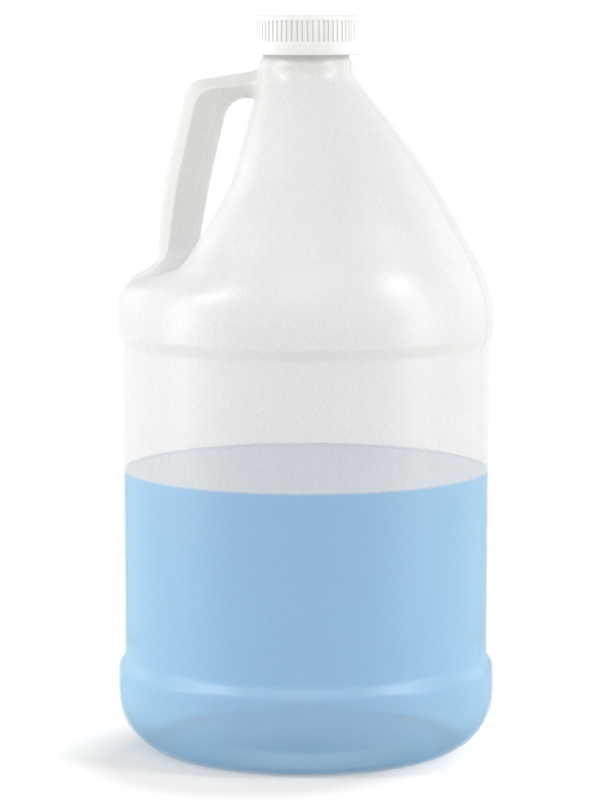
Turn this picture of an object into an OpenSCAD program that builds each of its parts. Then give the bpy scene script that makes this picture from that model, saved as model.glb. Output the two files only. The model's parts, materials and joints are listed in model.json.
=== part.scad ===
// One-gallon round jug: blown body with a hollow handle, ribbed screw cap with a foam
// liner, and the liquid inside. The origin is the centre of the base on the floor, the
// handle points to -X, and the body is the same on both sides of the XZ plane.

/* [Body] */
// Radius of the flat label panel
panel_r = 76; // [70:0.5:82]
// How far the foot bead stands out from the label panel
foot_step = 2.6; // [1.5:0.1:4]
// How far the shoulder bead stands out from the label panel
shoulder_step = 1.8; // [1:0.1:3]
// Height of the upper edge of the foot bead
foot_bead_h = 35; // [33:0.5:45]
// Height at which the label panel ends
panel_top_h = 170; // [150:0.5:180]
// Height of the slope between the panel and a bead
bead_slope = 4.5; // [3:0.1:6]
// Radius of the soft edges of the two beads
bead_round = 5; // [3:0.5:6]
// Height from the panel's end to the corner of shoulder and dome, before it is rounded
shoulder_rise = 20.3; // [18:0.1:26]
// Radius that rounds the shoulder
shoulder_round = 56; // [40:1:60]
// Radius of the heel
heel_round = 24; // [18:0.5:25]
// Thickness of the blown wall
wall = 1.1; // [0.8:0.1:1.6]

/* [Base] */
// How far the edge of the ring that the jug stands on lies inside the panel
ring_in = 12; // [9:0.5:13]
// Width of that ring
ring_w = 8; // [5:0.5:10]
// Depth of the pushed-up middle of the base
push_up = 5; // [3:0.5:8]
// Width of the slope between the ring and the pushed-up middle
push_slope = 14; // [10:1:20]

/* [Finger recess] */
// Radius of the recess wall at the height of the recess floor, before it is rounded
recess_floor_r = 32; // [30:0.5:36]
// Height of the recess floor above the corner of shoulder and dome
recess_floor_rise = 10.9; // [9:0.1:12]
// How sharply the recess fades out round the body under the arm
recess_fade = 2; // [1.5:0.1:3]
// How sharply it fades out at its floor, where it is narrower
floor_fade = 6; // [4:0.5:7]

/* [Handle] */
// Depth of the middle of the arm below the rim, where it leaves the neck
arm_drop = 25.7; // [24:0.1:28]
// Thickness of the arm, top to bottom
arm_t = 11; // [9:0.5:12]
// Distance from the jug's axis to the outside of the handle at its upper corner
handle_reach = 50.6; // [47:0.2:52]
// How much further out the handle's foot stands than its upper corner
handle_splay = 14.6; // [12:0.2:16]
// Thickness of the grip, from its outer to its inner side
grip_t = 17.4; // [15:0.2:19]
// Width of the grip across the parting plane
grip_w = 20; // [16:0.5:22]
// How much the grip narrows towards the fingers
grip_taper = 0.5; // [0:0.05:0.6]
// How much wider the grip gets at its root, on each side
root_flare = 6; // [0:0.5:8]

/* [Neck] */
// Height of the neck's rim above the floor
rim_h = 299.7; // [299:0.1:304]
// Length of the neck's finish, from the rim down to its foot
finish_l = 14.3; // [14:0.1:16]
// Radius of the neck below the cap
neck_r = 18.9; // [18.6:0.1:19.5]
// Radius of the pouring bore
bore_r = 15.2; // [14:0.1:15.6]
// Outside diameter of the neck's thread
thread_d = 37.5; // [37:0.1:37.6]
// Depth of the neck's thread
thread_depth = 1.2; // [0.9:0.05:1.3]
// Distance between two turns of the thread, along the axis
thread_pitch = 4.233; // [4:0.001:4.5]
// Number of turns of the neck's thread
thread_turns = 1.25; // [1:0.05:1.5]
// Depth of the end of the neck's thread below the rim
thread_drop = 1.8; // [1.6:0.1:2.4]
// Width of a thread's ridge at its root
ridge_foot = 2.2; // [1.8:0.1:2.4]
// Width of a thread's ridge at its crest
ridge_tip = 0.9; // [0.6:0.1:1]

/* [Cap] */
// Height of the cap
cap_h = 15.9; // [15:0.1:17]
// Radius of the cap's plain lower band
cap_band_r = 22.1; // [21.8:0.1:23]
// Height of the plain lower band
cap_band_h = 4.8; // [4:0.1:6]
// Radius over the tips of the ribs
cap_rib_r = 21.7; // [21.5:0.1:21.8]
// Depth of the grooves between ribs
cap_rib_depth = 0.5; // [0.3:0.05:0.6]
// Number of ribs round the cap
cap_ribs = 64; // [40:2:80]
// Height of the smooth rounded edge over the ribs
cap_edge_h = 1.5; // [1:0.1:2]
// Thickness of the cap's top
cap_top_t = 1.6; // [1.2:0.1:2]
// Number of turns of the cap's thread
cap_turns = 1; // [0.75:0.05:1.2]
// Thickness of the foam liner
liner_t = 1; // [0.6:0.1:1.2]

/* [Contents] */
// Height of the liquid's surface above the floor
liquid_h = 115.7; // [60:0.5:160]

/* [Fits] */
// Radial gap between the cap's skirt and the neck's thread
skirt_gap = 0.45; // [0.35:0.05:0.6]
// Radial gap between the cap's thread and the neck's wall
crest_gap = 0.45; // [0.35:0.05:0.6]
// Gap along the axis between the flanks of the two threads
flank_gap = 0.15; // [0.1:0.05:0.3]
// Gap between the liner and the rim, and between the liner and the cap
liner_gap = 0.05; // [0.02:0.01:0.1]
// Gap between the liquid and the jug's wall
liquid_gap = 0.1; // [0.05:0.05:0.3]
// Gap between the edge of the liner and the cap's skirt
liner_edge_gap = 0.3; // [0.2:0.05:0.5]

/* [Hidden] */
$fn = 96;

foot_bead_r = panel_r + foot_step;
shoulder_bead_r = panel_r + shoulder_step;
ring_r = panel_r - ring_in;
shoulder_h = panel_top_h + shoulder_rise;
arm_h = rim_h - arm_drop;
arm_top = arm_h + arm_t / 2;
arm_under = arm_h - arm_t / 2;
// From the shoulder's corner to the middle of the arm
arm_rise = arm_h - shoulder_h;

// The body is turned up to this height, and lofted from there to the neck
turned_h = panel_top_h + 1.3 * bead_round;
// The loft ends here, just over the arm, and the turned neck begins
neck_h = arm_top + 1.36 * wall;
dome_span = neck_h - turned_h;
// A loft's ends stand this much inside the turned walls that they run into
tuck = 0.15;
tuck_h = 0.5;
skin_sides = 64;
cavity_sides = 48;

// The neck's thread, and how deep its ridge roots in the wall
thread_r = thread_d / 2;
root_r = thread_r - thread_depth;
thread_bottom = rim_h - thread_drop - thread_turns * thread_pitch;
finish_h = rim_h - finish_l;
ridge_bite = ridge_foot * 0.18;
// The cap's thread starts this many turns before the neck's
cap_start = -0.15;

// The cap hangs from its liner on the rim
cap_top = rim_h + 2 * liner_gap + liner_t + cap_top_t;
cap_bottom = cap_top - cap_h;
skirt_r = thread_r + skirt_gap;
crest_r = root_r + crest_gap;

// A ridge's width where the other thread's crest reaches it, and the drop that clears it
ridge_meet = ridge_tip + (ridge_foot - ridge_tip) * (thread_r - crest_r) / (thread_depth + ridge_bite);
thread_seat = (ridge_meet + ridge_tip) / 2 + flank_gap;

function unit(v) = v / norm(v);
function mix(a, b, t) = a + (b - a) * t;
function smooth(t) = let (u = min(1, max(0, t))) u * u * (3 - 2 * u);

// The points that round one corner of a path, with the radius as the corner's third value
function corner(before, at, after, steps) =
    let (p = [at.x, at.y],
         back = unit([before.x, before.y] - p),
         on = unit([after.x, after.y] - p),
         half = acos(back * on) / 2,
         centre = p + unit(back + on) * at.z / sin(half),
         first = p + back * at.z / tan(half) - centre,
         last = p + on * at.z / tan(half) - centre,
         start = atan2(first.y, first.x),
         turn = atan2(last.y, last.x) - start,
         sweep = turn - 360 * round(turn / 360))
    [for (j = [0:steps]) centre + at.z * [cos(start + sweep * j / steps), sin(start + sweep * j / steps)]];

// A path through corners, each rounded by its own radius
function rounded(corners, steps) = [
    [corners[0].x, corners[0].y],
    for (i = [1:len(corners) - 2], p = corner(corners[i - 1], corners[i], corners[i + 1], steps)) p,
    [corners[len(corners) - 1].x, corners[len(corners) - 1].y]
];

// A path moved sideways by d, to its left
function offset_path(path, d) = [
    for (i = [0:len(path) - 1])
        let (a = path[max(0, i - 1)], b = path[min(len(path) - 1, i + 1)], t = unit(b - a))
        path[i] + d * [-t.y, t.x]
];

// Half of the turned body's outline, from the middle of the base to the shoulder bead
foot_path = rounded([
    [0, push_up, 0],
    [ring_r - ring_w - push_slope, push_up, push_slope * 0.43],
    [ring_r - ring_w, 0, push_slope * 0.21],
    [ring_r, 0, heel_round / 12],
    [foot_bead_r, (foot_bead_r - ring_r) * 0.57, heel_round],
    [foot_bead_r, foot_bead_h - bead_slope / 3, bead_round],
    [panel_r, foot_bead_h + bead_slope * 2 / 3, bead_round],
    [panel_r, panel_top_h - bead_slope * 0.45, bead_round],
    [shoulder_bead_r, panel_top_h + bead_slope * 0.55, bead_round],
    [shoulder_bead_r, turned_h, 0]
], 6);

// A point between the neck's wall and another radius, and up the rise to the arm
function between(r, out, up) = [mix(neck_r, r, out), shoulder_h + up * arm_rise];

// The dome's outline away from the handle
dome_path = rounded([
    [shoulder_bead_r, turned_h - 2 * bead_round, 0],
    [shoulder_bead_r, shoulder_h, shoulder_round],
    [each between(shoulder_bead_r, 0.509, 0.601), 3.2 * arm_rise],
    [each between(neck_r, 0, 1.048), neck_r * 0.53],
    [neck_r, neck_h + bead_round, 0]
], 10);

// The finger recess's outline under the handle
recess_path = rounded([
    [shoulder_bead_r, turned_h - 2 * bead_round, 0],
    [shoulder_bead_r, shoulder_h + recess_floor_rise * 0.16, recess_floor_rise * 0.86],
    [recess_floor_r, shoulder_h + recess_floor_rise, recess_floor_rise * 0.7],
    [each between(neck_r, 0, 1.066), neck_r * 0.53],
    [neck_r, neck_h + bead_round, 0]
], 8);

function by_height(path) = [for (p = path) [p.y, p.x]];
dome_table = by_height(dome_path);
recess_table = by_height(recess_path);

// The body's radius above the bead, at an angle from the handle
function fade_at(z) = mix(floor_fade, recess_fade, smooth((z - shoulder_h) / (0.6 * arm_rise)));
function skin_r(a, z) =
    mix(lookup(z, dome_table), lookup(z, recess_table), pow((1 + cos(a)) / 2, fade_at(z)));

// The wall is as thick across a slope as anywhere, and swells inwards until the bore cuts it
swell_h = 0.63 * neck_r;
function neck_swell(z) = (neck_r - bore_r) * smooth(1.09 * (z - neck_h + swell_h) / swell_h);
function cavity_r(a, z) =
    let (slope = skin_r(a, z + 0.5) - skin_r(a, z - 0.5))
    skin_r(a, z) - wall * sqrt(1 + slope * slope) - neck_swell(z);

// Heights of the loft's rings: close together where the outline turns
ring_shares = [
    for (i = [0:12]) 0.04 + 0.0225 * i,
    for (i = [1:9]) 0.31 + 0.06 * i,
    for (i = [1:4]) 0.85 + 0.03 * i
];
ring_heights = [turned_h - tuck_h, for (s = ring_shares) turned_h + s * dome_span, neck_h + tuck_h];

// A closed solid through rings of points, each ring with as many points as the next
module loft(rings) {
    n = len(rings[0]);
    last = len(rings) - 1;
    points = [for (ring = rings, p = ring) p];
    walls = [
        for (i = [0:last - 1], j = [0:n - 1])
            let (k = (j + 1) % n)
            each [
                [i * n + j, i * n + k, (i + 1) * n + k],
                [i * n + j, (i + 1) * n + k, (i + 1) * n + j]
            ]
    ];
    ends = [[for (j = [n - 1:-1:0]) j], [for (j = [0:n - 1]) last * n + j]];
    polyhedron(points = points, faces = [for (f = concat(walls, ends)) [for (i = [len(f) - 1:-1:0]) f[i]]]);
}

module dome() {
    loft([for (z = ring_heights) [for (j = [0:skin_sides - 1])
        let (a = 360 * j / skin_sides, r = skin_r(a, z) - tuck) [-r * cos(a), -r * sin(a), z]]]);
}

module dome_cavity() {
    loft([for (z = ring_heights) [for (j = [0:cavity_sides - 1])
        let (a = 360 * j / cavity_sides, r = cavity_r(a, z) - tuck) [-r * cos(a), -r * sin(a), z]]]);
}

// A point on the handle: out from the upper corner by a share of the splay, in by some
// thickness, and up the rise to the arm
function grip_at(out, inwards, up) = [handle_reach + out * handle_splay - inwards, shoulder_h + up * arm_rise];

// The handle's outer and inner edges in the parting plane, corner for corner
handle_rim = shoulder_bead_r - wall * 0.45;
handle_outer = rounded([
    [neck_r * 0.42, arm_top + arm_t * 0.18, 0],
    [handle_reach, arm_top - arm_t * 0.4, arm_t * 0.82],
    [each grip_at(0.726, 0, 0.51), arm_rise * 1.8],
    [each grip_at(1, 0, 0.102), grip_t * 0.29],
    [handle_rim - wall * 0.27, shoulder_h + 0.027 * arm_rise, grip_t * 0.23],
    [handle_rim, shoulder_h - 0.075 * arm_rise, 0]
], 5);
handle_inner = rounded([
    [neck_r * 0.42, arm_under, 0],
    [handle_reach - grip_t * 0.9, arm_under, arm_t],
    [each grip_at(0.753, grip_t, 0.486), arm_rise * 1.8],
    [each grip_at(1.096, grip_t, 0.152), grip_t * 1.15],
    [each grip_at(1.192, grip_t, 0.02), grip_t * 1.15],
    [each grip_at(1.233, grip_t, -0.111), 0]
], 5);

// One cross-section of the handle: boxy outside, and narrower on the finger side
function grip_ring(i, inset, n) =
    let (a = handle_outer[i], b = handle_inner[i],
         across = unit(a - b),
         half_t = norm(a - b) / 2 - inset,
         half_w = grip_w / 2 + root_flare * smooth(7 * (0.164 - (a.y - shoulder_h) / arm_rise)) - inset,
         middle = (a + b) / 2)
    [for (j = [0:n - 1])
        let (t = 360 * j / n,
             u = sign(cos(t)) * pow(abs(cos(t)), 0.75),
             v = sign(sin(t)) * pow(abs(sin(t)), 0.75),
             p = middle + across * half_t * u,
             narrow = 1 - grip_taper * max(0, 0.1 - u) / 1.1)
        [-p.x, half_w * v * narrow, p.y]];

module handle() {
    loft([for (i = [0:len(handle_outer) - 1]) grip_ring(i, 0, 24)]);
}

module handle_cavity() {
    loft([for (i = [0:len(handle_outer) - 1]) grip_ring(i, wall, 18)]);
}

// A right-hand ridge on the helix that passes angle 0 at helix_h, from one turn of it to
// another, with its height fading in and out at its two ends
module thread_ridge(root, crest, helix_h, from_turn, to_turn) {
    steps = round((to_turn - from_turn) * 48);
    fade = 5;
    loft([for (i = [0:steps])
        let (turn = mix(from_turn, to_turn, i / steps),
             grown = mix(0.15, 1, smooth(min(i, steps - i) / fade)),
             r = mix(root, crest, grown))
        [for (p = [[root, -ridge_foot / 2], [r, -ridge_tip / 2], [r, ridge_tip / 2], [root, ridge_foot / 2]])
            [p.x * cos(360 * turn), p.x * sin(360 * turn), helix_h + thread_pitch * turn + p.y * grown]]]);
}

module turned_body() {
    rotate_extrude()
        polygon(concat(foot_path, [[0, turned_h]]));
}

module turned_cavity() {
    inside = [for (p = offset_path(foot_path, wall)) [max(0, p.x), p.y]];
    rotate_extrude()
        polygon(concat(inside, [[inside[len(inside) - 1].x, turned_h + 1], [0, turned_h + 1]]));
}

module neck_finish() {
    rim_round = wall * 0.45;
    rotate_extrude()
        polygon([
            [0, neck_h], [neck_r, neck_h], [neck_r, finish_h - 1.5 * (neck_r - root_r)], [root_r, finish_h],
            [root_r, rim_h - rim_round], [root_r - rim_round, rim_h], [0, rim_h]
        ]);
    thread_ridge(root_r - ridge_bite, thread_r, thread_bottom, 0, thread_turns);
}

module jug() {
    color([0.93, 0.94, 0.94, 0.55])
        difference() {
            union() {
                turned_body();
                dome();
                handle();
                neck_finish();
            }
            turned_cavity();
            dome_cavity();
            handle_cavity();
            translate([0, 0, neck_h - 0.75 * swell_h])
                cylinder(r = bore_r, h = rim_h - neck_h + swell_h);
        }
}

module cap() {
    band_top = cap_bottom + cap_band_h;
    color([0.93, 0.93, 0.93]) {
        difference() {
            union() {
                translate([0, 0, cap_bottom])
                    cylinder(r = cap_band_r, h = cap_band_h);
                translate([0, 0, band_top - 0.5])
                    rib_profile(cap_top - cap_edge_h - band_top + 0.8);
                cap_edge();
            }
            translate([0, 0, cap_bottom - 1])
                cylinder(r = skirt_r, h = cap_h - cap_top_t + 1);
        }
        cap_thread();
    }
}

// The smooth rounded edge that closes the ribs at the top
module cap_edge() {
    edge_r = cap_rib_r + 0.06;
    rotate_extrude()
        polygon([
            for (p = rounded([
                [0, cap_top - cap_edge_h, 0],
                [edge_r, cap_top - cap_edge_h, 0.1],
                [edge_r, cap_top, cap_edge_h - 0.3],
                [0, cap_top, 0]
            ], 5)) p
        ]);
}

// The ribbed wall: a toothed outline pushed straight up
module rib_profile(h) {
    step = 360 / cap_ribs;
    linear_extrude(height = h)
        polygon([for (i = [0:cap_ribs - 1], q = [[0, 0], [0.18, 1], [0.62, 1], [0.8, 0]])
            let (a = step * (i + q.x), r = cap_rib_r - cap_rib_depth * (1 - q.y)) r * [cos(a), sin(a)]]);
}

// The cap's thread lies on the neck's own helix, moved down until it bears from below
module cap_thread() {
    thread_ridge(skirt_r + ridge_bite, crest_r, thread_bottom - thread_seat, cap_start, cap_start + cap_turns);
}

module cap_liner() {
    color([0.97, 0.97, 0.95])
        translate([0, 0, rim_h + liner_gap])
            cylinder(r = skirt_r - liner_edge_gap, h = liner_t);
}

module liquid() {
    inside = offset_path(foot_path, wall + liquid_gap);
    table = by_height([for (p = inside) if (p.x > ring_r) p]);
    color([0.53, 0.73, 0.87, 0.8])
        rotate_extrude()
            polygon(concat(
                [for (p = inside) if (p.y < liquid_h - 1) [max(0, p.x), p.y]],
                [[lookup(liquid_h, table), liquid_h], [0, liquid_h]]
            ));
}

jug();
cap();
cap_liner();
liquid();
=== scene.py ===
import json
import math

import bmesh
import bpy
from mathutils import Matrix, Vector
from mathutils.kdtree import KDTree

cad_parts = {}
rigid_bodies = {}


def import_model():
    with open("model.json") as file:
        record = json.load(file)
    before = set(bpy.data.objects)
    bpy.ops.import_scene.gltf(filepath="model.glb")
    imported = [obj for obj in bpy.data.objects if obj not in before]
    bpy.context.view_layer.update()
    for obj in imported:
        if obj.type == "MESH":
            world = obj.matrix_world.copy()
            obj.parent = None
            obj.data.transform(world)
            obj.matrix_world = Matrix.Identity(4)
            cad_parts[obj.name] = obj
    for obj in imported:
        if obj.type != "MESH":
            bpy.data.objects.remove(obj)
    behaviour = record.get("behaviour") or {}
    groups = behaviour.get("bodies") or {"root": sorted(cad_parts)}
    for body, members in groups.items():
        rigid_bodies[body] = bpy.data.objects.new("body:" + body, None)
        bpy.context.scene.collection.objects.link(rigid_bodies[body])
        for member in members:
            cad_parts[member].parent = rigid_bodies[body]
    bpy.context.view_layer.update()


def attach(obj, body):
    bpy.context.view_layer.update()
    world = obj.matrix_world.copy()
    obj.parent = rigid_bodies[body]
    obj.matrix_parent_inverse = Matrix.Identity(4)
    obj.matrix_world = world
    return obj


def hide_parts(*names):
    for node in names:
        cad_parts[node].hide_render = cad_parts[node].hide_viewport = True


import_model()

# The blown body: natural high-density polyethylene, one piece with its hollow handle. A soft
# tube is closed between two halves of a mould and blown out against them, which leaves a thin
# line where the halves meet, an even wall and rounded edges. The neck is pressed to shape.
MM = 0.001
WALL = 1.1
FOOT_R, PANEL_R, BEAD_R, TURNED_H, SHOULDER_H = 78.55, 76, 77.8, 176.5, 190.3
NECK_R, NECK_H, COLLAR_H, FINISH_H, RIM_H = 18.9, 281.0, 283.4, 285.4, 299.7
ROOT_R, BORE_R = 17.55, 15.2


def rounded(corners, steps=8):
    """A path through corners (x, y, radius), all in millimetres."""
    path = [Vector(corners[0][:2])]
    for before, at, after in zip(corners, corners[1:], corners[2:]):
        here = Vector(at[:2])
        back = (Vector(before[:2]) - here).normalized()
        on = (Vector(after[:2]) - here).normalized()
        half = back.angle(on) / 2
        centre = here + (back + on).normalized() * at[2] / math.sin(half)
        first = here + back * at[2] / math.tan(half) - centre
        sweep = -first.angle_signed(here + on * at[2] / math.tan(half) - centre)
        start = math.atan2(first.y, first.x)
        for k in range(steps + 1):
            turn = start + sweep * k / steps
            path.append(centre + at[2] * Vector((math.cos(turn), math.sin(turn))))
    return path + [Vector(corners[-1][:2])]


def radius_at(path, height):
    """The radius at which a path that only rises passes a height."""
    for low, high in zip(path, path[1:]):
        if low.y <= height <= high.y and high.y > low.y:
            return low.x + (high.x - low.x) * (height - low.y) / (high.y - low.y)
    return path[-1].x


def ease(t):
    """Runs from 0 to 1 with a soft start and end."""
    t = min(1, max(0, t))
    return t * t * (3 - 2 * t)


foot_line = rounded([
    (0.5, 5, 0), (42, 5, 6), (56, 0, 3), (64, 0, 2), (FOOT_R, 8.3, 24), (FOOT_R, 33.5, 5),
    (PANEL_R, 38, 5), (PANEL_R, 168, 5), (BEAD_R, 172.5, 5), (BEAD_R, TURNED_H, 0)])
dome_line = rounded([
    (BEAD_R, 166, 0), (BEAD_R, SHOULDER_H, 56), (48.9, 240.6, 270), (NECK_R, 278, 10),
    (NECK_R, 300, 0)], 16)
recess_line = rounded([
    (BEAD_R, 166, 0), (BEAD_R, 192.0, 9.4), (32, 201.2, 7.6), (NECK_R, 279.5, 10),
    (NECK_R, 300, 0)], 12)
FLOOR_FADE, ARM_FADE, FADE_RISE = 6, 2, 50
SWELL_DROP, SWELL_RISE = 12, 11


def skin_radius(from_handle, height):
    """The body's radius over the bead. The finger recess fades out round the body, fast at its
    floor and more slowly under the arm."""
    fade = FLOOR_FADE + (ARM_FADE - FLOOR_FADE) * ease((height - SHOULDER_H) / FADE_RISE)
    deep = ((1 + math.cos(from_handle)) / 2) ** fade
    return radius_at(dome_line, height) * (1 - deep) + radius_at(recess_line, height) * deep


def cavity_radius(from_handle, height):
    """The hollow's radius: one wall inside the skin, and narrowing to the bore under the neck."""
    slope = skin_radius(from_handle, height + 0.5) - skin_radius(from_handle, height - 0.5)
    swell = (NECK_R - WALL - BORE_R) * ease((height - NECK_H + SWELL_DROP) / SWELL_RISE)
    return skin_radius(from_handle, height) - WALL * math.hypot(1, slope) - swell


def turned(name, outline, shape=None, sides=128):
    """A closed body drawn up ring by ring from a small disc; shape gives a ring its own outline."""
    bpy.ops.object.select_all(action="DESELECT")
    bpy.ops.mesh.primitive_circle_add(vertices=sides, radius=outline[0][0] * MM, fill_type="TRIFAN",
                                      location=(0, 0, outline[0][1] * MM))
    piece = bpy.context.object
    piece.name = name
    bpy.ops.object.transform_apply()
    bpy.ops.object.mode_set(mode="EDIT")
    bpy.ops.mesh.select_all(action="SELECT")
    bpy.ops.mesh.region_to_loop()
    for (r, z), (next_r, next_z) in zip(outline, outline[1:]):
        bpy.ops.mesh.extrude_edges_move(TRANSFORM_OT_translate={"value": (0, 0, (next_z - z) * MM)})
        bpy.ops.transform.resize(value=(next_r / r, next_r / r, 1), center_override=(0, 0, next_z * MM))
    bpy.ops.mesh.edge_face_add()
    bpy.ops.mesh.select_all(action="SELECT")
    bpy.ops.mesh.normals_make_consistent(inside=False)
    bpy.ops.object.mode_set(mode="OBJECT")
    if shape:
        for vertex in piece.data.vertices:
            height = vertex.co.z / MM
            if height > TURNED_H + 0.01:
                flat = Vector((vertex.co.x, vertex.co.y))
                wanted = shape(math.atan2(abs(flat.y), -flat.x), height)
                if wanted:
                    flat = flat.normalized() * wanted * MM
                    vertex.co = (flat.x, flat.y, vertex.co.z)
    return piece


shoulder_heights = [TURNED_H + 1.2 * k for k in range(1, 36)]
cone_heights = [TURNED_H + 42 + 2.5 * k for k in range(1, 25)]
dome_heights = [z for z in shoulder_heights + cone_heights if z < NECK_H] + [NECK_H]
outer = turned(
    "jug_skin",
    [(p.x, p.y) for p in foot_line] + [(radius_at(dome_line, z), z) for z in dome_heights]
    + [(NECK_R, COLLAR_H), (ROOT_R, FINISH_H), (ROOT_R, 292), (ROOT_R, RIM_H - 0.6),
       (ROOT_R - 0.2, RIM_H - 0.2), (ROOT_R - 0.6, RIM_H)],
    lambda a, z: skin_radius(a, z) if z <= NECK_H + 0.01 else None)


def moved_in(path, by):
    """The same path, moved to its left."""
    moved = []
    for k, point in enumerate(path):
        along = (path[min(len(path) - 1, k + 1)] - path[max(0, k - 1)]).normalized()
        moved.append(point + by * Vector((-along.y, along.x)))
    return moved


inner_foot = [p for p in moved_in(foot_line, WALL) if p.x > 0.4]
inner = turned(
    "jug_hollow",
    [(p.x, p.y) for p in inner_foot] + [(radius_at(dome_line, z), z) for z in dome_heights]
    + [(BORE_R, NECK_H + 1), (BORE_R, RIM_H + 4)],
    lambda a, z: cavity_radius(a, z) if z <= NECK_H + 0.01 else None)

# The handle is blown with the body: a boxy hollow loop, with a wide slanted facet on its finger
# side that runs on round the upper corner and under the arm, and a flared root on the shoulder.
ARM_TOP, ARM_UNDER, REACH = 279.5, 268.5, 50.6
handle_out = rounded([
    (8, ARM_TOP + 2, 0), (REACH, ARM_TOP - 4.4, 9), (REACH + 10.6, 233, 150), (REACH + 14.6, 198.8, 5),
    (77, 192.6, 4), (77.3, 184, 0)], 10)
handle_in = rounded([
    (8, ARM_UNDER, 0), (REACH - 15.6, ARM_UNDER, 11), (REACH - 6.4, 231, 150), (REACH - 1.4, 203, 20),
    (REACH, 192, 20), (REACH + 0.6, 181, 0)], 10)
GRIP_W, GRIP_T = 20.0, 17.4
ROOT_FLARE, ROOT_H, FLARE_RISE = 9.0, 206.0, 15


def grip_section():
    """The handle's cross-section as shares of its half thickness and half width."""
    half_t, half_w = GRIP_T / 2, GRIP_W / 2
    side = rounded([
        (half_t, 0, 0), (half_t, 5, 3.5), (1.2, half_w, 1.5), (-half_t, 4.4, 3.2),
        (-half_t, 0, 0)], 5)
    side = [side[0]] + [side[0].lerp(side[1], 0.5)] + side[1:-1]
    mirrored = [Vector((p.x, -p.y)) for p in reversed(side[1:])]
    whole = side + [Vector((-half_t, 0))] + mirrored
    return [Vector((p.x / half_t, p.y / half_w)) for p in whole]


def grip_ring(out_point, in_point, inset):
    """One ring of the handle, between a point of its outer edge and one of its inner edge."""
    across = (out_point - in_point).normalized()
    half_t = (out_point - in_point).length / 2 - inset
    half_w = GRIP_W / 2 + ROOT_FLARE * ease((ROOT_H - out_point.y) / FLARE_RISE) - inset
    middle = (out_point + in_point) / 2
    ring = []
    for share in grip_section():
        p = middle + across * half_t * share.x
        ring.append(Vector((-p.x, half_w * share.y, p.y)) * MM)
    return ring


def drawn_tube(name, rings):
    """A closed tube drawn out ring by ring from a circle."""
    bpy.ops.object.select_all(action="DESELECT")
    bpy.ops.mesh.primitive_circle_add(vertices=len(rings[0]), radius=0.01, fill_type="NGON")
    piece = bpy.context.object
    piece.name = name
    for vertex, place in zip(piece.data.vertices, rings[0]):
        vertex.co = place
    bpy.ops.object.mode_set(mode="EDIT")
    bpy.ops.mesh.select_all(action="SELECT")
    bpy.ops.mesh.region_to_loop()
    for ring, next_ring in zip(rings, rings[1:]):
        bpy.ops.mesh.extrude_edges_move()
        work = bmesh.from_edit_mesh(piece.data)
        for vertex in [v for v in work.verts if v.select]:
            nearest = min(range(len(ring)), key=lambda k: (ring[k] - vertex.co).length_squared)
            vertex.co = next_ring[nearest]
        bmesh.update_edit_mesh(piece.data)
    bpy.ops.mesh.edge_face_add()
    bpy.ops.mesh.select_all(action="SELECT")
    bpy.ops.mesh.normals_make_consistent(inside=False)
    bpy.ops.object.mode_set(mode="OBJECT")
    return piece


def stations(step=4):
    """Points along the handle's outer and inner edges, side by side and not far apart."""
    pairs = []
    for k in range(len(handle_out) - 1):
        a, b, c, d = handle_out[k], handle_out[k + 1], handle_in[k], handle_in[k + 1]
        count = max(1, math.ceil(max((b - a).length, (d - c).length) / step))
        pairs += [(a.lerp(b, m / count), c.lerp(d, m / count)) for m in range(count)]
    return pairs + [(handle_out[-1], handle_in[-1])]


def joined(piece, other, how):
    """Adds a closed shape to a piece, or cuts it out."""
    step = piece.modifiers.new(how, "BOOLEAN")
    step.operation, step.solver, step.object = how, "EXACT", other
    bpy.ops.object.select_all(action="DESELECT")
    bpy.context.view_layer.objects.active = piece
    piece.select_set(True)
    bpy.ops.object.modifier_apply(modifier=step.name)
    bpy.data.objects.remove(other)


def grown_together(body, limb):
    """Joins the two and softens the crease between them, as blowing does."""
    old = [v.co.copy() for v in body.data.vertices] + [v.co.copy() for v in limb.data.vertices]
    joined(body, limb, "UNION")
    tree = KDTree(len(old))
    for k, co in enumerate(old):
        tree.insert(co, k)
    tree.balance()
    bpy.ops.object.mode_set(mode="EDIT")
    bpy.ops.mesh.select_mode(type="VERT")
    bpy.ops.mesh.select_all(action="DESELECT")
    work = bmesh.from_edit_mesh(body.data)
    for vertex in work.verts:
        if tree.find(vertex.co)[2] > 1e-6:
            vertex.select = True
    work.select_flush_mode()
    bmesh.update_edit_mesh(body.data)
    bpy.ops.mesh.select_more()
    bpy.ops.mesh.remove_doubles(threshold=0.0005)
    bpy.ops.mesh.quads_convert_to_tris()
    bpy.ops.mesh.vertices_smooth(factor=0.5, repeat=4)
    bpy.ops.object.mode_set(mode="OBJECT")


grown_together(outer, drawn_tube("handle", [grip_ring(a, b, 0) for a, b in stations()]))
grown_together(inner, drawn_tube("handle_hollow", [grip_ring(a, b, WALL) for a, b in stations()]))

# The mould's two halves meet in the plane of the handle. They leave a fine raised line there,
# from just over the base to the collar under the thread.
PARTING_W, PARTING_RISE = 0.7, 0.2
bpy.ops.object.select_all(action="DESELECT")
bpy.context.view_layer.objects.active = outer
outer.select_set(True)
bpy.ops.object.mode_set(mode="EDIT")
for side in (-PARTING_W / 2, PARTING_W / 2):
    bpy.ops.mesh.select_all(action="SELECT")
    bpy.ops.mesh.bisect(plane_co=(0, side * MM, 0), plane_no=(0, 1, 0), use_fill=False)
bpy.ops.object.mode_set(mode="OBJECT")
outer.data.update()
normals = [v.normal.copy() for v in outer.data.vertices]
for vertex, normal in zip(outer.data.vertices, normals):
    if abs(vertex.co.y) < 0.05 * MM and 1.5 * MM < vertex.co.z < (COLLAR_H + 0.1) * MM:
        vertex.co += normal * PARTING_RISE * MM
        vertex.co.x = max(-FOOT_R * MM, min(FOOT_R * MM, vertex.co.x))

# The neck's thread: one rounded ridge, pressed in the mould. It runs right-handed for one and a
# quarter turns and fades in and out at its ends.
PITCH, THREAD_R, THREAD_TURNS = 4.233, 18.75, 1.25


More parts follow.
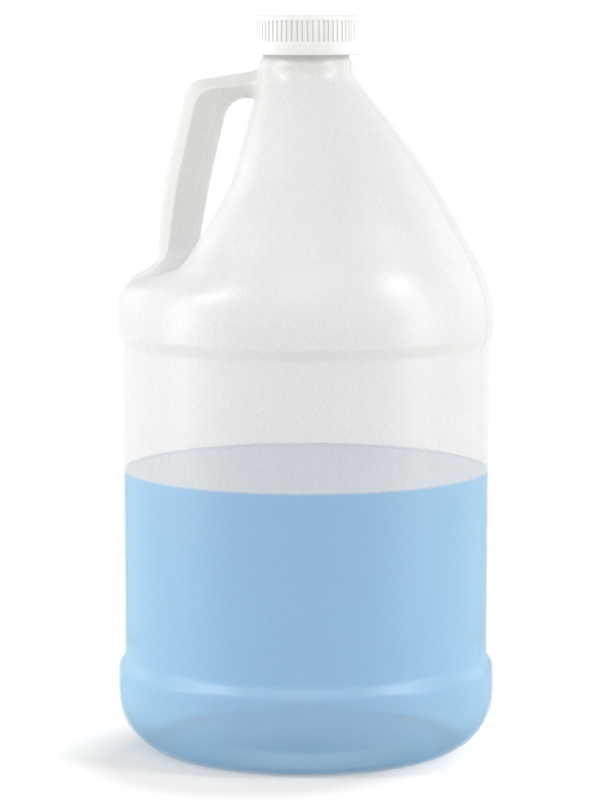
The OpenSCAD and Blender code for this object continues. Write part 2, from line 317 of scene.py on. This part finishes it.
def thread_rings(root, crest, low, start_turn, turns, half_foot=1.1, half_tip=0.45):
    """The rings of a thread's ridge; root and crest are radii, so it points out or in."""
    rings, steps = [], round(turns * 64)
    for k in range(steps + 1):
        turn = start_turn + turns * k / steps
        grown = 0.15 + 0.85 * ease(min(k, steps - k) / 7)
        tip = root + (crest - root) * grown
        soft = root + (tip - root) * 0.8
        ring = []
        for r, half in ((root, -half_foot), (soft, -half_tip - 0.15), (tip, -half_tip + 0.15),
                        (tip, half_tip - 0.15), (soft, half_tip + 0.15), (root, half_foot)):
            ring.append(Vector((r * math.cos(math.tau * turn), r * math.sin(math.tau * turn),
                                low + PITCH * turn + half * grown)) * MM)
        rings.append(ring)
    return rings


THREAD_LOW = RIM_H - 1.8 - THREAD_TURNS * PITCH
ridge = drawn_tube("thread", thread_rings(ROOT_R - 0.4, THREAD_R, THREAD_LOW, 0, THREAD_TURNS))
joined(outer, ridge, "UNION")
for piece in (outer, inner):
    piece.data.materials.clear()
    for name in ("outside", "inside"):
        piece.data.materials.append(bpy.data.materials.new(name))
    piece.data.polygons.foreach_set("material_index", [int(piece is inner)] * len(piece.data.polygons))
joined(outer, inner, "DIFFERENCE")


def smooth_shaded(piece, angle=40):
    """Shades a piece smooth, apart from edges sharper than the angle."""
    bpy.ops.object.select_all(action="DESELECT")
    bpy.context.view_layer.objects.active = piece
    piece.select_set(True)
    bpy.ops.object.shade_smooth_by_angle(angle=math.radians(angle))


smooth_shaded(outer)


def linear(text):
    """An sRGB hex colour as linear light."""
    parts = [int(text[k:k + 2], 16) / 255 for k in (1, 3, 5)]
    return tuple(c / 12.92 if c <= 0.04045 else ((c + 0.055) / 1.055) ** 2.4 for c in parts) + (1,)


def add(tree, kind, sockets=(), **settings):
    """Adds one node with its settings, its values and its links."""
    made = tree.nodes.new(kind)
    for name, value in settings.items():
        setattr(made, name, value)
    for name, value in dict(sockets).items():
        if isinstance(value, bpy.types.NodeSocket):
            tree.links.new(value, made.inputs[name])
        else:
            made.inputs[name].default_value = value
    return made


def new_material(name):
    """A new material and its empty tree."""
    material = bpy.data.materials.new(name)
    material.use_nodes = True
    material.node_tree.nodes.clear()
    return material, material.node_tree


def ramp(tree, fac, *stops):
    """A colour that runs between two stops, each a place and a hex colour."""
    made = add(tree, "ShaderNodeValToRGB", {"Fac": fac})
    for element, (place, colour) in zip(made.color_ramp.elements, stops):
        element.position, element.color = place, linear(colour)
    return made.outputs["Color"]


def noise(tree, place, scale, detail):
    """Soft noise, as a share from 0 to 1."""
    sockets = {"Vector": place, "Scale": scale, "Detail": detail}
    return add(tree, "ShaderNodeTexNoise", sockets).outputs["Fac"]


def bumped(tree, height, strength, distance):
    """A normal that follows a height."""
    sockets = {"Height": height, "Strength": strength, "Distance": distance}
    return add(tree, "ShaderNodeBump", sockets).outputs["Normal"]


# Natural polyethylene, blown: milky and see-through, waxy, finely mottled, with faint upright
# draw lines; where the liquid wets it from inside, its blue shines through the wall, and the wall's
# colour there is painted pale blue for that light as well.
LEVEL = 115.7


def polyethylene(name, dry, wet, haze, through):
    """dry and wet: the share of light that a face of the wall keeps; haze: how uneven that is;
    through: the share of it that the wall passes on scattered."""
    material, tree = new_material(name)
    place = add(tree, "ShaderNodeTexCoord").outputs["Object"]
    height = add(tree, "ShaderNodeSeparateXYZ", {"Vector": place}).outputs["Z"]
    stretch = {"Vector": place, "Scale": (260, 260, 9)}
    draw = noise(tree, add(tree, "ShaderNodeMapping", stretch).outputs["Vector"], 1.0, 3.0)
    cloud = noise(tree, place, 28.0, 2.0)
    mottle = noise(tree, place, 1700.0, 2.0)
    below = add(tree, "ShaderNodeMapRange", {
        "Value": height, "From Min": (LEVEL + 0.5) * MM,
        "From Max": (LEVEL - 0.8) * MM}).outputs["Result"]
    dry_colour = ramp(tree, mottle, (0.3, "#DFDFDD"), (0.7, "#EFEFED"))
    # Painted light: under the level the wall's colour is pale blue, standing in for the liquid's light
    # coming through it.
    painted_liquid_blue = ramp(tree, mottle, (0.3, "#CFE3F1"), (0.7, "#DCEEFA"))
    colour = add(tree, "ShaderNodeMix", {0: below, 6: dry_colour, 7: painted_liquid_blue},
                 data_type="RGBA").outputs[2]
    uneven = add(tree, "ShaderNodeMath", {0: draw, 1: cloud}, operation="ADD").outputs[0]
    dry_share = add(tree, "ShaderNodeMapRange", {
        "Value": uneven, "From Min": 0.6, "From Max": 1.4,
        "To Min": dry - haze, "To Max": dry + haze}).outputs["Result"]
    alpha = add(tree, "ShaderNodeMix", {0: below, 2: dry_share, 3: wet}).outputs[0]
    bump = bumped(tree, mottle, 0.08, 0.0005)
    shader = add(tree, "ShaderNodeBsdfPrincipled", {
        "Base Color": colour, "Alpha": alpha, "Roughness": 0.34, "IOR": 1.54,
        "Specular IOR Level": 0.8, "Normal": bump})
    clear = add(tree, "ShaderNodeBsdfTransparent")
    glow = add(tree, "ShaderNodeBsdfTranslucent", {"Color": colour, "Normal": bump})
    glow = add(tree, "ShaderNodeMixShader", {
        0: alpha, 1: clear.outputs["BSDF"], 2: glow.outputs["BSDF"]})
    whole = add(tree, "ShaderNodeMixShader", {
        0: through, 1: shader.outputs["BSDF"], 2: glow.outputs["Shader"]})
    add(tree, "ShaderNodeOutputMaterial", {"Surface": whole.outputs["Shader"]})
    return material


outer.data.materials[0] = polyethylene("natural_blown_polyethylene", 0.63, 0.5, 0.02, 0.25)
outer.data.materials[1] = polyethylene("natural_polyethylene_inside", 0.12, 0.06, 0.01, 0.25)
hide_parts("jug")
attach(outer, "jug_body")

# The liquid: thin as water and dyed light blue. It fills the jug to its level and creeps up the
# wall a little at its edge. It is sunk a little into the wall, so no gap shows between them.
SINK, MENISCUS = 0.3, 1.1
liquid_line = [p for p in moved_in(foot_line, WALL - SINK) if p.y < LEVEL - 3]
liquid_r = PANEL_R - WALL + SINK
liquid = turned(
    "blue_liquid",
    [(max(0.5, p.x), p.y) for p in liquid_line if p.x > 0.4]
    + [(liquid_r, LEVEL), (liquid_r - 0.5, LEVEL - 0.5), (liquid_r - 1.5, LEVEL - 0.9),
       (liquid_r - 3.5, LEVEL - MENISCUS), (30, LEVEL - MENISCUS), (0.5, LEVEL - MENISCUS)])
smooth_shaded(liquid, 60)
liquid.data.materials.clear()
for name, roughness, ior, clear, low, high in (
        ("dyed_water_surface", 0.05, 1.1, 0.5, "#D3E8FF", "#DDEEFF"),
        ("dyed_water_at_the_wall", 0.3, 1.06, 1.0, "#F6FBFE", "#FDFEFF")):
    water, tree = new_material(name)
    place = add(tree, "ShaderNodeTexCoord").outputs["Object"]
    tint = ramp(tree, noise(tree, place, 14.0, 1.0), (0.3, low), (0.7, high))
    shader = add(tree, "ShaderNodeBsdfPrincipled", {
        "Base Color": tint, "Roughness": roughness, "IOR": ior, "Transmission Weight": clear})
    depth = add(tree, "ShaderNodeVolumeAbsorption", {
        "Color": linear("#50DAF1"), "Density": 24.0})
    add(tree, "ShaderNodeOutputMaterial", {
        "Surface": shader.outputs["BSDF"], "Volume": depth.outputs["Volume"]})
    liquid.data.materials.append(water)
for face in liquid.data.polygons:
    at_wall = math.hypot(face.center.x, face.center.y) > (liquid_r - 0.1) * MM
    face.material_index = int(at_wall or face.center.z < (LEVEL - MENISCUS - 0.2) * MM)
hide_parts("liquid")
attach(liquid, "jug_body")

# The cap: injection-moulded white polypropylene. Fine upright ribs for grip run up from a plain,
# slightly wider band at the foot and end under a smooth rounded edge; the thread is inside.
CAP_TOP, CAP_LOW, CAP_BAND_H, CAP_BAND_R, LID = 302.4, 286.5, 4.8, 22.1, 1.6
RIBS, RIB_R, RIB_DEPTH, RIB_SHARE = 64, 21.7, 0.5, 0.55
SKIRT_R, CREST_R, CAP_THREAD_DROP = 19.2, 18.0, 1.35
RIB_LOW, RIB_HIGH = CAP_LOW + CAP_BAND_H + 0.5, CAP_TOP - 1.9
outline = rounded([
    (0.5, CAP_LOW, 0), (CAP_BAND_R, CAP_LOW, 0.4), (CAP_BAND_R, CAP_LOW + CAP_BAND_H, 0.5),
    (RIB_R, CAP_LOW + CAP_BAND_H + 0.1, 0)], 5)
outline += [Vector((RIB_R, z)) for z in (RIB_LOW, RIB_LOW + 0.3, RIB_HIGH - 0.4, RIB_HIGH)]
outline += rounded([(RIB_R, RIB_HIGH + 0.1, 0), (RIB_R, CAP_TOP, 1.4), (0.5, CAP_TOP, 0)], 5)
cap = turned("cap_shell", [(p.x, p.y) for p in outline], sides=RIBS * 6)
for vertex in cap.data.vertices:
    z = vertex.co.z / MM
    r = math.hypot(vertex.co.x, vertex.co.y) / MM
    if RIB_LOW + 0.1 < z < RIB_HIGH - 0.1 and r > RIB_R - 0.1:
        turn = (math.atan2(vertex.co.y, vertex.co.x) / math.tau * RIBS) % 1
        if turn > RIB_SHARE:
            k = (r - RIB_DEPTH) / r
            vertex.co = (vertex.co.x * k, vertex.co.y * k, vertex.co.z)
well = turned("cap_well", [
    (2, CAP_LOW - 2), (SKIRT_R, CAP_LOW - 2), (SKIRT_R, CAP_TOP - LID), (2, CAP_TOP - LID)])
joined(cap, well, "DIFFERENCE")
joined(cap, drawn_tube("cap_thread", thread_rings(
    SKIRT_R + 0.4, CREST_R, THREAD_LOW - CAP_THREAD_DROP, -0.15, 1.0)), "UNION")
smooth_shaded(cap, 30)
moulded, tree = new_material("moulded_white_polypropylene")
place = add(tree, "ShaderNodeTexCoord").outputs["Object"]
colour = ramp(tree, noise(tree, place, 90.0, 2.0), (0.3, "#E3E3E2"), (0.7, "#E9E9E8"))
bump = bumped(tree, noise(tree, place, 1500.0, 2.0), 0.1, 0.0002)
shader = add(tree, "ShaderNodeBsdfPrincipled", {
    "Base Color": colour, "Roughness": 0.42, "IOR": 1.49, "Normal": bump})
add(tree, "ShaderNodeOutputMaterial", {"Surface": shader.outputs["BSDF"]})
cap.data.materials.clear()
cap.data.materials.append(moulded)
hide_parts("cap")
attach(cap, "cap_body")

# The liner: a disc of white closed-cell foam, pressed into the cap to seal on the rim. The rim
# leaves its print, a shallow ring, on the underside.
liner_low, liner_high = RIM_H + 0.2, RIM_H + 1.05
liner = turned("foam_liner", [
    (1, liner_low), (15.4, liner_low), (15.8, RIM_H + 0.3), (17.2, RIM_H + 0.3),
    (17.6, liner_low), (18.7, liner_low), (18.9, RIM_H + 0.35), (18.9, RIM_H + 0.9),
    (18.7, liner_high), (1, liner_high)])
smooth_shaded(liner, 30)
foam, tree = new_material("closed_cell_foam")
place = add(tree, "ShaderNodeTexCoord").outputs["Object"]
cells = add(tree, "ShaderNodeTexVoronoi", {"Vector": place, "Scale": 2200.0}).outputs["Distance"]
colour = ramp(tree, cells, (0.0, "#E4E3DE"), (0.6, "#F3F2EE"))
shader = add(tree, "ShaderNodeBsdfPrincipled", {
    "Base Color": colour, "Roughness": 0.7, "Normal": bumped(tree, cells, 0.3, 0.0002)})
add(tree, "ShaderNodeOutputMaterial", {"Surface": shader.outputs["BSDF"]})
liner.data.materials.clear()
liner.data.materials.append(foam)
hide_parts("cap_liner")
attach(liner, "liner_body")

# The studio: a white paper floor that keeps the jug's soft shadow, made darker by a painted shadow near
# the jug, and a white surround. Both look brighter to the camera, straight, mirrored or through the
# plastic, and light the jug less.
# Painted shadow: the floor's glow to the camera is turned down near a point under the jug's front left,
# and rises again further out.
SHADOW_MIDDLE, SHADOW_FROM, SHADOW_TO = (-0.01, -0.045, 0), 0.055, 0.12
PAINTED_SHADOW_LIFT, FAR_LIFT = 0.24, 0.85


def highest(tree, one, other):
    """The larger of two values."""
    return add(tree, "ShaderNodeMath", {0: one, 1: other}, operation="MAXIMUM").outputs[0]


def looked_at(tree, path):
    """1 on a ray that the camera sends, mirrored or through the plastic too, and 0 elsewhere."""
    seen = highest(tree, path.outputs["Is Camera Ray"], path.outputs["Is Glossy Ray"])
    return highest(tree, seen, path.outputs["Is Transmission Ray"])


bpy.ops.object.select_all(action="DESELECT")
bpy.ops.mesh.primitive_plane_add(size=6, location=(0, 0, 0))
floor = bpy.context.object
floor.name = "floor"
paper, tree = new_material("white_paper_floor")
path = add(tree, "ShaderNodeLightPath")
place = add(tree, "ShaderNodeTexCoord").outputs["Object"]
white = add(tree, "ShaderNodeBsdfDiffuse", {"Color": linear("#CAC7C3")}).outputs["BSDF"]
# Painted shadow: the floor glows less near the jug and more further away.
from_painted_shadow = add(tree, "ShaderNodeVectorMath", {0: place, 1: SHADOW_MIDDLE},
           operation="DISTANCE").outputs["Value"]
bright = add(tree, "ShaderNodeMapRange", {
    "Value": from_painted_shadow, "From Min": SHADOW_FROM, "From Max": SHADOW_TO,
    "To Min": PAINTED_SHADOW_LIFT, "To Max": FAR_LIFT}).outputs["Result"]
through = add(tree, "ShaderNodeMath", {0: path.outputs["Is Transmission Ray"], 1: FAR_LIFT},
              operation="MULTIPLY").outputs[0]
lift = add(tree, "ShaderNodeEmission", {
    "Color": (1, 1, 1, 1), "Strength": highest(tree, bright, through)}).outputs["Emission"]
both = add(tree, "ShaderNodeAddShader", {0: white, 1: lift}).outputs[0]
add(tree, "ShaderNodeOutputMaterial", {
    "Surface": add(tree, "ShaderNodeMixShader", {
        0: looked_at(tree, path), 1: white, 2: both}).outputs[0]})
floor.data.materials.append(paper)

world = bpy.data.worlds.new("white_surround")
bpy.context.scene.world = world
world.use_nodes = True
tree = world.node_tree
tree.nodes.clear()
path = add(tree, "ShaderNodeLightPath")
plain = add(tree, "ShaderNodeBackground", {"Color": (1, 1, 1, 1), "Strength": 0.45}).outputs[0]
bright = add(tree, "ShaderNodeBackground", {"Color": (1, 1, 1, 1), "Strength": 1.0}).outputs[0]
add(tree, "ShaderNodeOutputWorld", {
    "Surface": add(tree, "ShaderNodeMixShader", {
        0: looked_at(tree, path), 1: plain, 2: bright}).outputs[0]})


def soft_box(name, place, width, height, watts):
    """A soft light with a flat face, turned to the jug's shoulder."""
    lamp = bpy.data.lights.new(name, "AREA")
    lamp.shape, lamp.size, lamp.size_y, lamp.energy = "RECTANGLE", width, height, watts
    box = bpy.data.objects.new(name, lamp)
    bpy.context.scene.collection.objects.link(box)
    box.location = place
    to_jug = Vector((0, 0, 0.17)) - Vector(place)
    box.rotation_euler = to_jug.to_track_quat("-Z", "Y").to_euler()


soft_box("left_box", (-0.8, -0.83, 0.92), 0.26, 0.26, 6)
soft_box("right_box", (1.14, -0.13, 0.92), 0.26, 0.26, 5.5)
soft_box("front_box", (0.3, -1.1, 1.15), 0.6, 0.6, 2.8)
soft_box("left_strip", (-1.0, -0.6, 0.36), 0.4, 0.7, 5)
soft_box("right_strip", (1.15, 0.02, 0.36), 0.4, 0.7, 4.4)
soft_box("left_back_box", (-1.3, 0.5, 0.6), 0.9, 0.9, 3.2)
soft_box("right_back_box", (0.9, 1.25, 0.6), 0.9, 0.9, 3.4)

# The camera stands a little to the right of the jug's front and looks down slightly, as in the
# photograph. A long lens keeps the jug's sides upright.
view_turn, view_dip, view_far = math.radians(19.5), math.radians(6.96), 1.377
aim = Vector((0, 0, 0.14376))
back = Vector((math.sin(view_turn) * math.cos(view_dip),
               -math.cos(view_turn) * math.cos(view_dip), math.sin(view_dip)))
bpy.ops.object.camera_add(location=aim + back * view_far)
camera = bpy.context.object
camera.rotation_euler = (-back).to_track_quat("-Z", "Y").to_euler()
camera.data.lens = 149.25
camera.data.sensor_width = 36
camera.data.shift_x = -0.0075
bpy.context.scene.camera = camera
bpy.context.scene.view_settings.view_transform = "Standard"
